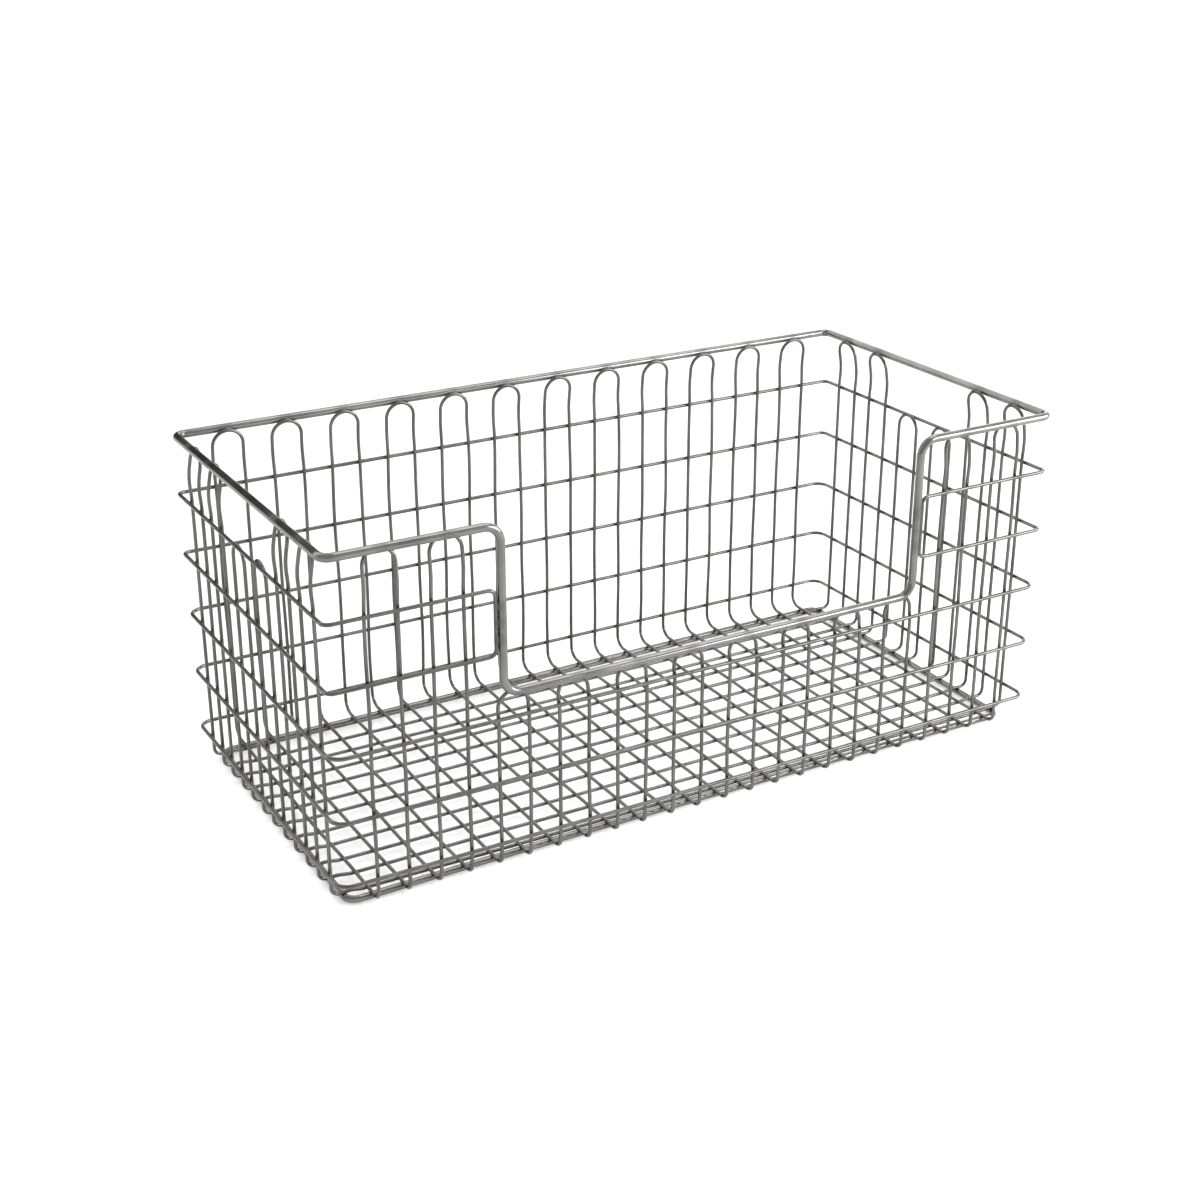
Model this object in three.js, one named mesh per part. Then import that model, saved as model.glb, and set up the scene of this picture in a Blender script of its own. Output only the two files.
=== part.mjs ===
// Sterilization basket in welded round stainless wire, with a cut-out in its front side.
// Millimetres, +Z up. X runs along the basket, the cut-out faces -Y, and the origin lies on the
// surface that the basket stands on, under the middle of the basket.

import * as THREE from 'three';

// Wire diameters
const WIRE = 2.5; // grid loops and rings
const RIM_WIRE = 6;
const BASE_WIRE = 5;

// Clearance left between two wires that are welded together
const WELD_GAP = 0.3;

// Cage of rings, measured on the centrelines of the rings
const CAGE_LENGTH = 582.6;
const CAGE_WIDTH = 278.6;
const UPPER_RING_CORNER = 5;
const LOWER_RING_CORNER = 10;

// Heights
const HEIGHT = 257.2; // from the surface to the top of the rim
const RING_COUNT = 5;
const BOTTOM_RING_HEIGHT = 23.2; // centreline of the lowest ring
const TOP_RING_DROP = 43.8; // from the rim's centreline down to that of the highest ring

// Rim: how far its centreline stands inside the cage's, and its bends
const RIM_INSET_ENDS = 1.55;
const RIM_INSET_SIDES = -0.2;
const RIM_CORNER = 7;

// Cut-out in the front side
const CUTOUT_LOOPS = 8; // grid loops that end at its lower edge
const CUTOUT_UPRIGHT_SET = 2.6; // from the outermost short leg to the upright, towards the middle
const CUTOUT_EDGE_RISE = 18.2; // from the third ring up to the lower edge of the cut-out
const CUTOUT_BEND = 12;
const TWIN_RING_END_BEND = 5;

// Base frame: how far its centreline stands inside the cage's, and its corners
const BASE_INSET_ENDS = 11.6;
const BASE_INSET_SIDES = 16.9;
const BASE_CORNER = 12;

// Grid loops across the basket
const CROSS_LOOPS = 12;
const CROSS_END_MARGIN = 28.1; // from the end ring to the first leg

// Grid loops along the basket
const LONG_LOOPS = 6;
const LONG_SIDE_MARGIN = 23.5; // from the side ring to the first leg
const LONG_LOOP_WIDTH = 21.9;
const HAND_HOLD_LOOPS = 2; // middle loops that stop at the highest ring
const HAND_HOLD_LOOP_RISE = 1; // of their tops above that ring

// Bends of the grid loops
const SIDE_FLOOR_BEND = 10; // where the floor turns up into a long side
const END_FLOOR_BEND = 5.5; // where the floor turns up into an end
const LEG_BOW = 1.1; // of a tall leg outwards between the highest ring and the rim
const LEG_BOW_HEIGHT = 19; // of the bow above the highest ring
const LEG_EASE = 12; // radius of the slight bends in a leg
const LEG_START = 3; // height above its last ring at which a leg leaves the wall
const TOP_DROP = 1; // of a loop's top below the centreline of the wire it is welded to
const SEAT_RUN = 3; // straight length of a short leg under its round top
const STEP_EASE = 8; // radius of the bends where a long loop steps up over the base frame
const STEP_CLEAR = 2.5; // from the base frame, and from the last cross wire, to the step

// Facets
const WIRE_SIDES = 6;
const HEAVY_SIDES = 8;
const ARC_STEP = Math.PI / 6;
const HEAVY_ARC_STEP = Math.PI / 10;
const TINY = 1e-6; // lengths and turns under this count as nothing

// Places worked out from the sizes above
const touch = (one, other) => (one + other) / 2 + WELD_GAP;
const halfLength = CAGE_LENGTH / 2;
const halfWidth = CAGE_WIDTH / 2;
const legX = halfLength - touch(WIRE, WIRE);
const legY = halfWidth - touch(WIRE, WIRE);
const rimX = halfLength - RIM_INSET_ENDS;
const rimY = halfWidth - RIM_INSET_SIDES;
const rimZ = HEIGHT - RIM_WIRE / 2;
const seatX = rimX - touch(RIM_WIRE, WIRE);
const seatY = rimY - touch(RIM_WIRE, WIRE);
const baseX = halfLength - BASE_INSET_ENDS;
const baseY = halfWidth - BASE_INSET_SIDES;
const baseZ = BASE_WIRE / 2;
const crossZ = baseZ + touch(BASE_WIRE, WIRE);
const longZ = crossZ - touch(WIRE, WIRE);
const sideFoot = { up: crossZ, radius: SIDE_FLOOR_BEND };
const endFoot = { up: crossZ, radius: END_FLOOR_BEND };
const topRingZ = rimZ - TOP_RING_DROP;
const ringPitch = (topRingZ - BOTTOM_RING_HEIGHT) / (RING_COUNT - 1);
const ringHeights = Array.from({ length: RING_COUNT }, (_, k) => topRingZ - k * ringPitch);
const cutoutZ = ringHeights[2] + CUTOUT_EDGE_RISE;
const crossPitch = (CAGE_LENGTH - 2 * CROSS_END_MARGIN) / (2 * CROSS_LOOPS - 1);
const longPitch = (CAGE_WIDTH - 2 * LONG_SIDE_MARGIN - LONG_LOOP_WIDTH) / (LONG_LOOPS - 1);
const lastCrossX = halfLength - CROSS_END_MARGIN;
const cutoutX = (CUTOUT_LOOPS - 0.5) * crossPitch - CUTOUT_UPRIGHT_SET;

const vec = (x, y, z) => new THREE.Vector3(x, y, z);

// One corner of a wire's route: a point and the radius that the wire is bent to there.
const corner = (point, radius) => ({ point, radius });

// Points of a closed route whose corners are bent to their radii, in steps of about arcStep.
function bentRoute(corners, arcStep) {
  const route = [];
  const count = corners.length;
  const push = (point) => {
    const last = route[route.length - 1];
    if (!last || last.distanceTo(point) > TINY) route.push(point);
  };
  corners.forEach(({ point, radius }, i) => {
    const before = corners[(i + count - 1) % count].point.clone().sub(point).normalize();
    const after = corners[(i + 1) % count].point.clone().sub(point).normalize();
    const turn = Math.PI - before.angleTo(after);
    if (turn < TINY) return;
    const toCentre = before.clone().add(after).normalize();
    const centre = point.clone().addScaledVector(toCentre, radius / Math.cos(turn / 2));
    const start = point.clone().addScaledVector(before, radius * Math.tan(turn / 2)).sub(centre);
    const axis = after.clone().cross(before).normalize();
    const steps = Math.max(1, Math.round(turn / arcStep));
    for (let k = 0; k <= steps; k += 1) {
      push(start.clone().applyAxisAngle(axis, (turn * k) / steps).add(centre));
    }
  });
  if (route[0].distanceTo(route[route.length - 1]) < TINY) route.pop();
  return route;
}

// Sections are carried along the route without twisting. Returns, for each point, the mitre
// plane's tangent, the direction of the bend and the two axes of the section.
function carryFrames(route, firstNormal) {
  const count = route.length;
  const along = route.map((p, i) => route[(i + 1) % count].clone().sub(p).normalize());
  const frames = [];
  let normal = firstNormal.clone();
  for (let i = 0; i < count; i += 1) {
    const into = along[(i + count - 1) % count];
    const out = along[i];
    const tangent = into.clone().add(out).normalize();
    const bend = out.clone().sub(into);
    normal = normal.clone().addScaledVector(tangent, -normal.dot(tangent)).normalize();
    const stretch = 1 / into.dot(tangent);
    frames.push({ tangent, bend, stretch, normal });
    normal = normal.clone().applyQuaternion(new THREE.Quaternion().setFromUnitVectors(tangent, out));
  }
  return frames;
}

// A closed loop of round wire: a flat-sided section carried round the bent route. The flats lie
// on the wire's diameter, and two of them face along firstNormal where the route starts.
function wireLoop(corners, diameter, sides, arcStep, firstNormal) {
  const route = bentRoute(corners, arcStep);
  const frames = carryFrames(route, firstNormal);
  const reach = diameter / 2 / Math.cos(Math.PI / sides);
  const positions = [];
  const indices = [];
  route.forEach((point, i) => {
    const { tangent, bend, stretch, normal } = frames[i];
    const side = tangent.clone().cross(normal);
    const bendWay = bend.clone().normalize();
    for (let k = 0; k < sides; k += 1) {
      const angle = ((k + 0.5) / sides) * 2 * Math.PI;
      const offset = normal.clone().multiplyScalar(Math.cos(angle) * reach);
      offset.addScaledVector(side, Math.sin(angle) * reach);
      offset.addScaledVector(bendWay, offset.dot(bendWay) * (stretch - 1));
      positions.push(...point.clone().add(offset).toArray());
      const here = i * sides;
      const next = ((i + 1) % route.length) * sides;
      const beside = (k + 1) % sides;
      indices.push(here + k, here + beside, next + k);
      indices.push(next + k, here + beside, next + beside);
    }
  });
  const geometry = new THREE.BufferGeometry();
  geometry.setAttribute('position', new THREE.Float32BufferAttribute(positions, 3));
  geometry.setIndex(indices);
  geometry.computeVertexNormals();
  return geometry;
}

const satinSteel = () =>
  new THREE.MeshStandardMaterial({ color: 0x8d8985, roughness: 0.34, metalness: 1 });
const brightSteel = () =>
  new THREE.MeshStandardMaterial({ color: 0x9a9692, roughness: 0.26, metalness: 1 });

function namedMesh(name, geometry, material) {
  const mesh = new THREE.Mesh(geometry, material);
  mesh.name = name;
  return mesh;
}

// Level rectangle with bent corners, as the rings and the base frame are.
function levelRectangle(x, y, z, radius) {
  return [vec(-x, -y, z), vec(x, -y, z), vec(x, y, z), vec(-x, y, z)].map((p) => corner(p, radius));
}

// Thick rim, which drops into the front side and runs along the lower edge of the cut-out.
function rimWire() {
  const corners = [
    corner(vec(-rimX, -rimY, rimZ), RIM_CORNER),
    corner(vec(-cutoutX, -rimY, rimZ), CUTOUT_BEND),
    corner(vec(-cutoutX, -rimY, cutoutZ), CUTOUT_BEND),
    corner(vec(cutoutX, -rimY, cutoutZ), CUTOUT_BEND),
    corner(vec(cutoutX, -rimY, rimZ), CUTOUT_BEND),
    corner(vec(rimX, -rimY, rimZ), RIM_CORNER),
    corner(vec(rimX, rimY, rimZ), RIM_CORNER),
    corner(vec(-rimX, rimY, rimZ), RIM_CORNER),
  ];
  return wireLoop(corners, RIM_WIRE, HEAVY_SIDES, HEAVY_ARC_STEP, vec(0, 0, 1));
}

// Two highest rings in one wire: it runs round the back at both heights, and its ends are bent
// down beside the uprights of the cut-out.
function twinRing() {
  const endX = cutoutX + touch(RIM_WIRE, WIRE);
  const round = (z) => [
    corner(vec(-endX, -halfWidth, z), TWIN_RING_END_BEND),
    corner(vec(-halfLength, -halfWidth, z), UPPER_RING_CORNER),
    corner(vec(-halfLength, halfWidth, z), UPPER_RING_CORNER),
    corner(vec(halfLength, halfWidth, z), UPPER_RING_CORNER),
    corner(vec(halfLength, -halfWidth, z), UPPER_RING_CORNER),
    corner(vec(endX, -halfWidth, z), TWIN_RING_END_BEND),
  ];
  const corners = [...round(ringHeights[0]), ...round(ringHeights[1]).reverse()];
  return wireLoop(corners, WIRE, WIRE_SIDES, ARC_STEP, vec(0, 1, 0));
}

function plainRing(z) {
  const corners = levelRectangle(halfLength, halfWidth, z, LOWER_RING_CORNER);
  return wireLoop(corners, WIRE, WIRE_SIDES, ARC_STEP, vec(0, 1, 0));
}

function baseFrame() {
  const corners = levelRectangle(baseX, baseY, baseZ, BASE_CORNER);
  return wireLoop(corners, BASE_WIRE, HEAVY_SIDES, HEAVY_ARC_STEP, vec(0, 0, 1));
}

// Side views of a leg, from the wall's foot upwards, as pairs of the distance out from the middle
// of the basket and the height. The last pair is the top of the loop.

// A tall leg bows out above the highest ring and leans in until it ends inside the rim.
function tallLeg(wall, seat, foot, loopWidth) {
  const top = rimZ - TOP_DROP;
  return [
    { out: wall, ...foot },
    { out: wall, up: topRingZ + LEG_START, radius: LEG_EASE },
    { out: wall + LEG_BOW, up: topRingZ + LEG_BOW_HEIGHT, radius: LEG_EASE },
    { out: seat, up: top, radius: loopWidth / 2 },
  ];
}

// A leg under the cut-out ends inside its lower edge.
function cutoutLeg(wall, seat, foot, loopWidth) {
  const top = cutoutZ - TOP_DROP;
  const ring = ringHeights[2];
  return [
    { out: wall, ...foot },
    { out: wall, up: ring - LEG_START, radius: LEG_EASE },
    { out: seat, up: top - loopWidth / 2 - SEAT_RUN, radius: LEG_EASE },
    { out: seat, up: top, radius: loopWidth / 2 },
  ];
}

// A leg under a hand-hold ends just above the highest ring.
function handHoldLeg(wall, foot, loopWidth) {
  return [
    { out: wall, ...foot },
    { out: wall, up: topRingZ + HAND_HOLD_LOOP_RISE, radius: loopWidth / 2 },
  ];
}

// Closed hairpin loop from the side views of its two walls: up one wall, over its round top, down
// again, across the floor and the same at the other wall. place puts a point of the side view,
// which lies the given way out, on one of the loop's two legs.
function hairpin(farLeg, nearLeg, floor, place) {
  const walk = (points, way, leg) => points.map((p) => corner(place(way * p.out, p.up, leg), p.radius));
  const across = (way, leg) => walk(floor, way, leg);
  return [
    ...across(1, 0),
    ...walk(farLeg, 1, 0),
    ...walk(farLeg, 1, 1).reverse(),
    ...across(1, 1).reverse(),
    ...across(-1, 1),
    ...walk(nearLeg, -1, 1),
    ...walk(nearLeg, -1, 0).reverse(),
    ...across(-1, 0).reverse(),
  ];
}

// Hairpin loop across the basket. Its floor lies on the base frame.
function crossLoop(index) {
  const middle = (index - (CROSS_LOOPS - 1) / 2) * 2 * crossPitch;
  const inCutout = Math.abs(middle) < CUTOUT_LOOPS * crossPitch;
  const back = tallLeg(legY, seatY, sideFoot, crossPitch);
  const front = inCutout ? cutoutLeg(legY, seatY, sideFoot, crossPitch) : back;
  const place = (out, up, leg) => vec(middle + (leg - 0.5) * crossPitch, out, up);
  const corners = hairpin(back, front, [], place);
  return wireLoop(corners, WIRE, WIRE_SIDES, ARC_STEP, vec(0, 0, 1));
}

// Hairpin loop along the basket. Its floor lies under the cross loops and steps up over the ends
// of the base frame.
function longLoop(index) {
  const middle = (index - (LONG_LOOPS - 1) / 2) * longPitch;
  const isShort = Math.abs(middle) < (HAND_HOLD_LOOPS / 2) * longPitch;
  const leg = isShort
    ? handHoldLeg(legX, endFoot, LONG_LOOP_WIDTH)
    : tallLeg(legX, seatX, endFoot, LONG_LOOP_WIDTH);
  const floor = [
    { out: lastCrossX + STEP_CLEAR, up: longZ, radius: STEP_EASE },
    { out: baseX - BASE_WIRE / 2 - STEP_CLEAR, up: crossZ, radius: STEP_EASE },
  ];
  const place = (out, up, side) => vec(out, middle + (side - 0.5) * LONG_LOOP_WIDTH, up);
  const corners = hairpin(leg, leg, floor, place);
  return wireLoop(corners, WIRE, WIRE_SIDES, ARC_STEP, vec(0, 0, 1));
}

const basket = new THREE.Group();
basket.add(namedMesh('base_frame', baseFrame(), brightSteel()));
basket.add(namedMesh('rim_wire', rimWire(), brightSteel()));
basket.add(namedMesh('upper_twin_ring', twinRing(), satinSteel()));
['middle_ring', 'lower_ring', 'bottom_ring'].forEach((name, k) => {
  basket.add(namedMesh(name, plainRing(ringHeights[k + 2]), satinSteel()));
});
for (let i = 0; i < CROSS_LOOPS; i += 1) {
  const name = `cross_loop_${String(i + 1).padStart(2, '0')}`;
  basket.add(namedMesh(name, crossLoop(i), satinSteel()));
}
for (let i = 0; i < LONG_LOOPS; i += 1) {
  basket.add(namedMesh(`long_loop_${i + 1}`, longLoop(i), satinSteel()));
}

export default basket;
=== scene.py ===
"""Sterilization basket of welded round steel wire, dressed and lit for the studio.

Every wire of the basket is a smooth round tube along the route that its CAD solid follows, and
every place where two wires meet has its weld. Sizes are in millimetres until a mesh is made.
"""

import logging
import math
from collections.abc import Callable
from dataclasses import dataclass, field
from enum import Enum

import bpy
import numpy as np
from mathutils import Matrix, Vector


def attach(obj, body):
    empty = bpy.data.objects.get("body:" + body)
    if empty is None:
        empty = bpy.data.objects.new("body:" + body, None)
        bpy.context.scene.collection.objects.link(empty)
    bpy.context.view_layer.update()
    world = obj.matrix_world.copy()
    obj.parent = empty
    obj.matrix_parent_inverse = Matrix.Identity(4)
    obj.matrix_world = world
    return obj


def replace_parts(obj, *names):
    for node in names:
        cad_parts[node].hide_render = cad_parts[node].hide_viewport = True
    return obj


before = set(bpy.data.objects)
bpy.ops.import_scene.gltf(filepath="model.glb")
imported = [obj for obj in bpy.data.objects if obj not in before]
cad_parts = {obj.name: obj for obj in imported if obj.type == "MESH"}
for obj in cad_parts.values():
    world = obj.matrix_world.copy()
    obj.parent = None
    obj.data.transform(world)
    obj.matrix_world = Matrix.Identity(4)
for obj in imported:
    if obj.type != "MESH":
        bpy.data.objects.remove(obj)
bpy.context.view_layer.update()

MM = 0.001
BODY = "root"
WHITE = (1.0, 1.0, 1.0, 1.0)
# Least length that a vector is divided by
SHORTEST = 1e-12

Point = tuple[float, float, float]
Sizes = tuple[float, float, float]
Range = tuple[float, float]
Colour = tuple[float, float, float, float]
Socket = bpy.types.NodeSocket

log = logging.getLogger("basket")


class Slot(Enum):
    """Material slots of the part's record."""

    GRID = "grid_steel"
    FRAME = "frame_steel"


class Wall(Enum):
    """Wall at one end of a loop, as the way that it faces."""

    FAR = 1
    NEAR = -1


class Way(Enum):
    """Way of the basket in which a weld joins two wires or runs."""

    ALONG = (1, 0, 0)
    ACROSS = (0, 1, 0)
    UP = (0, 0, 1)


@dataclass(frozen=True)
class WireStock:
    """Round wire of one diameter.

    Attributes:
        diameter: Thickness of the wire in millimetres.
        facets: Faces round its section.
        step: Distance between two sections along it in millimetres.
    """

    diameter: float
    facets: int
    step: float = 1.6

    @property
    def radius(self) -> float:
        """Half the wire's diameter."""
        return self.diameter / 2


@dataclass(frozen=True)
class BasketPlan:
    """Sizes of the whole basket in millimetres, and the places worked out from them.

    Attributes:
        thin: Wire of the loops.
        ring: Wire of the rings.
        rim: Wire of the rim.
        base: Wire of the base frame.
        weld_gap: Gap that a weld fills between two wires.
        cage_length: Length of the rings between centrelines.
        cage_width: Width of the rings between centrelines.
        height: Height of the whole basket.
        ring_count: Number of rings, with both turns of the twin ring.
        twin_turns: How many of them, the highest ones, the twin ring makes.
        bottom_ring_height: Height of the lowest ring.
        top_ring_drop: Distance from the rim down to the highest ring.
        rim_inset_ends: How far the rim lies inside the rings at the ends.
        rim_inset_sides: The same at the long sides.
        base_inset_ends: How far the base frame lies inside the rings at the ends.
        base_inset_sides: The same at the long sides.
        base_bow: How far the base frame's front run is bowed inwards.
        cutout_loops: Cross loops that end at the cut-out.
        cutout_upright_set: How far an upright of the cut-out stands inside the next leg.
        cutout_edge_rise: Height of the cut-out's lower edge above the middle ring.
        cross_loops: Number of loops across the basket.
        cross_end_margin: Distance from the rings' ends to the outermost cross wire.
        long_loops: Number of loops along the basket.
        long_side_margin: Distance from the rings' sides to the outermost long wire.
        long_loop_width: Width of a long loop.
        hand_hold_loops: Long loops that end under a hand-hold.
        top_drop: How far a loop's top lies under the rim's centreline.
        floor_press: How far the long wires are pressed into the cross wires.
        floor_sag: How far the middle of the floor sags.
        floor_fade: Height over which that sag fades out at the walls' feet.
    """

    thin: WireStock = WireStock(2.62, 12)
    ring: WireStock = WireStock(2.85, 12)
    rim: WireStock = WireStock(6.0, 24)
    base: WireStock = WireStock(5.0, 20)
    weld_gap: float = 0.3
    cage_length: float = 582.6
    cage_width: float = 278.6
    height: float = 257.2
    ring_count: int = 5
    twin_turns: int = 2
    bottom_ring_height: float = 23.2
    top_ring_drop: float = 43.8
    rim_inset_ends: float = 1.55
    rim_inset_sides: float = -0.2
    base_inset_ends: float = 11.6
    base_inset_sides: float = 15.4
    base_bow: float = 3.5
    cutout_loops: int = 8
    cutout_upright_set: float = 2.6
    cutout_edge_rise: float = 18.2
    cross_loops: int = 12
    cross_end_margin: float = 28.1
    long_loops: int = 6
    long_side_margin: float = 23.5
    long_loop_width: float = 21.9
    hand_hold_loops: int = 2
    top_drop: float = 1.0
    floor_press: float = 0.75
    floor_sag: float = 0.8
    floor_fade: float = 6.0

    def touch(self, one: WireStock, other: WireStock) -> float:
        """Distance between the centrelines of two wires that are welded together."""
        return one.radius + other.radius + self.weld_gap

    @property
    def half_length(self) -> float:
        """Centreline of the end runs of the rings."""
        return self.cage_length / 2

    @property
    def half_width(self) -> float:
        """Centreline of the side runs of the rings."""
        return self.cage_width / 2

    @property
    def leg_x(self) -> float:
        """Centreline of the legs of the end walls."""
        return self.half_length - self.touch(self.thin, self.thin)

    @property
    def leg_y(self) -> float:
        """Centreline of the legs of the side walls."""
        return self.half_width - self.touch(self.thin, self.thin)

    @property
    def rim_x(self) -> float:
        """Centreline of the rim's end runs."""
        return self.half_length - self.rim_inset_ends

    @property
    def rim_y(self) -> float:
        """Centreline of the rim's side runs."""
        return self.half_width - self.rim_inset_sides

    @property
    def rim_z(self) -> float:
        """Height of the rim's centreline."""
        return self.height - self.rim.radius

    @property
    def seat_x(self) -> float:
        """Centreline of a loop's top where it is welded inside the rim's end run."""
        return self.rim_x - self.touch(self.rim, self.thin)

    @property
    def seat_y(self) -> float:
        """Centreline of a loop's top where it is welded inside the rim's side run."""
        return self.rim_y - self.touch(self.rim, self.thin)

    @property
    def base_x(self) -> float:
        """Centreline of the base frame's end runs."""
        return self.half_length - self.base_inset_ends

    @property
    def base_y(self) -> float:
        """Centreline of the base frame's side runs."""
        return self.half_width - self.base_inset_sides

    @property
    def base_z(self) -> float:
        """Height of the base frame's centreline."""
        return self.base.radius

    @property
    def cross_z(self) -> float:
        """Height of the floor wires across the basket."""
        return self.base_z + self.touch(self.base, self.thin)

    @property
    def long_z(self) -> float:
        """Height of the floor wires along the basket, which are pressed into the others."""
        return self.cross_z - self.touch(self.thin, self.thin) + self.floor_press

    @property
    def top_ring_z(self) -> float:
        """Height of the highest ring."""
        return self.rim_z - self.top_ring_drop

    @property
    def ring_heights(self) -> np.ndarray:
        """Heights of all rings, from the highest to the lowest."""
        return np.linspace(self.top_ring_z, self.bottom_ring_height, self.ring_count)

    @property
    def middle_ring_z(self) -> float:
        """Height of the middle ring, the first one under the twin ring."""
        return self.ring_heights[self.twin_turns]

    @property
    def cutout_z(self) -> float:
        """Height of the lower edge of the cut-out."""
        return self.middle_ring_z + self.cutout_edge_rise

    @property
    def cross_pitch(self) -> float:
        """Distance between two neighbouring floor wires across the basket."""
        return (self.cage_length - 2 * self.cross_end_margin) / (2 * self.cross_loops - 1)

    @property
    def long_pitch(self) -> float:
        """Distance between the middles of two neighbouring loops along the basket."""
        free = self.cage_width - 2 * self.long_side_margin - self.long_loop_width
        return free / (self.long_loops - 1)

    @property
    def last_cross_x(self) -> float:
        """Place of the outermost floor wire across the basket."""
        return self.half_length - self.cross_end_margin

    @property
    def cutout_x(self) -> float:
        """Centreline of the uprights of the cut-out."""
        return (self.cutout_loops - 0.5) * self.cross_pitch - self.cutout_upright_set

    @property
    def cross_middles(self) -> np.ndarray:
        """Places along X of the middles of the loops across the basket."""
        return (np.arange(self.cross_loops) - (self.cross_loops - 1) / 2) * 2 * self.cross_pitch

    @property
    def long_middles(self) -> np.ndarray:
        """Places along Y of the middles of the loops along the basket."""
        return (np.arange(self.long_loops) - (self.long_loops - 1) / 2) * self.long_pitch

    def dished(self, points: np.ndarray) -> np.ndarray:
        """Lets the floor sag towards its middle.

        With u = x / leg_x and v = y / leg_y, a floor point moves down by sag (1 - u^2)(1 - v^2).
        The move fades out over the bends at the walls' feet.

        Args:
            points: Places in millimetres, shape (n, 3).

        Returns:
            The moved places.
        """
        u, v = points[:, 0] / self.leg_x, points[:, 1] / self.leg_y
        rise = -self.floor_sag * np.clip(1 - u**2, 0, 1) * np.clip(1 - v**2, 0, 1)
        fade = np.clip(1 - (points[:, 2] - self.cross_z) / self.floor_fade, 0, 1)
        return points + np.column_stack([0 * u, 0 * u, rise * fade])

    def bowed(self, points: np.ndarray) -> np.ndarray:
        """Bows the front run of the base frame inwards by bow (1 - (x / base_x)^2).

        Args:
            points: Places in millimetres, shape (n, 3).

        Returns:
            The moved places.
        """
        inwards = self.base_bow * (1 - (points[:, 0] / self.base_x) ** 2) * (points[:, 1] < 0)
        return points + np.column_stack([0 * inwards, inwards, 0 * inwards])

    def ends_in_cutout(self, middle: np.ndarray) -> np.ndarray:
        """True for a cross loop whose front legs end at the cut-out."""
        return np.abs(middle) < self.cutout_loops * self.cross_pitch

    def ends_at_hand_hold(self, middle: np.ndarray) -> np.ndarray:
        """True for a long loop whose legs end under the hand-hold."""
        return np.abs(middle) < self.hand_hold_loops / 2 * self.long_pitch


def unit(rows: np.ndarray) -> np.ndarray:
    """Scales each vector of an array to length one.

    Args:
        rows: Vectors in the last axis.

    Returns:
        Array of the same shape.
    """
    return rows / np.maximum(np.linalg.norm(rows, axis=-1, keepdims=True), SHORTEST)


def bent_route(corners: np.ndarray, step: float, arc_points: int = 24) -> np.ndarray:
    """Closed route with bent corners, sampled evenly.

    A corner P between the unit directions B, back along the route, and A, on along it, turns by
    t = pi - angle(A, B). Its bend of radius r has its centre at P + unit(A + B) r / cos(t / 2) and
    starts at P + B r tan(t / 2). The bend is the start's arm turned about unit(A x B) from 0 to t.
    All corners are worked out at once, joined by straight runs and resampled by length.

    Args:
        corners: Rows of x, y, z and bend radius.
        step: Distance wanted between two points.
        arc_points: Points on each bend before resampling.

    Returns:
        Points, shape (n, 3); the last one joins the first.
    """
    point, radius = corners[:, :3], corners[:, 3:]
    back = unit(np.roll(point, 1, axis=0) - point)
    on = unit(np.roll(point, -1, axis=0) - point)
    turn = math.pi - np.arccos(np.clip(np.sum(back * on, axis=1, keepdims=True), -1, 1))
    centre = point + unit(back + on) * radius / np.cos(turn / 2)
    arm = point + back * radius * np.tan(turn / 2) - centre
    axis = unit(np.cross(on, back))
    angle = (turn * np.linspace(0, 1, arc_points))[:, :, None]
    swung = arm[:, None, :] * np.cos(angle) + np.cross(axis, arm)[:, None, :] * np.sin(angle)
    dense = (centre[:, None, :] + swung).reshape(-1, 3)
    dense = np.vstack([dense, dense[:1]])
    length = np.concatenate([[0], np.cumsum(np.linalg.norm(np.diff(dense, axis=0), axis=1))])
    count = int(round(length[-1] / step))
    at = np.linspace(0, length[-1], count, endpoint=False)
    return np.stack([np.interp(at, length, dense[:, k]) for k in range(3)], axis=1)


@dataclass(frozen=True)
class HandBend:
    """How a wire that was bent by hand strays from its plan.

    Attributes:
        sway: Sizes of the stray along X, Y and Z in millimetres.
        seed: Number that its chance starts from.
        waves: Number of sine waves that it is made of.
        fewest: Fewest turns of the first wave round the loop.
        choice: How many counts of turns there are to choose from.
        finer: How many turns more each next wave has.
    """

    sway: Sizes = (0.0, 0.0, 0.0)
    seed: int = 0
    waves: int = 3
    fewest: int = 5
    choice: int = 4
    finer: int = 4

    def stray(self, count: int) -> np.ndarray:
        """Mean of some sine waves of chosen turns and phases, times the sway.

        Args:
            count: Points round the loop.

        Returns:
            Moves in millimetres, shape (count, 3).
        """
        chance = np.random.default_rng(self.seed)
        column = (self.waves, 1)
        turns = np.arange(self.waves)[:, None] * self.finer
        turns = turns + chance.integers(self.fewest, self.fewest + self.choice, column)
        phase = chance.uniform(0, math.tau, column)
        at = np.linspace(0, math.tau, count, endpoint=False)
        return np.mean(np.sin(turns * at + phase), axis=0)[:, None] * np.array(self.sway)


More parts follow.
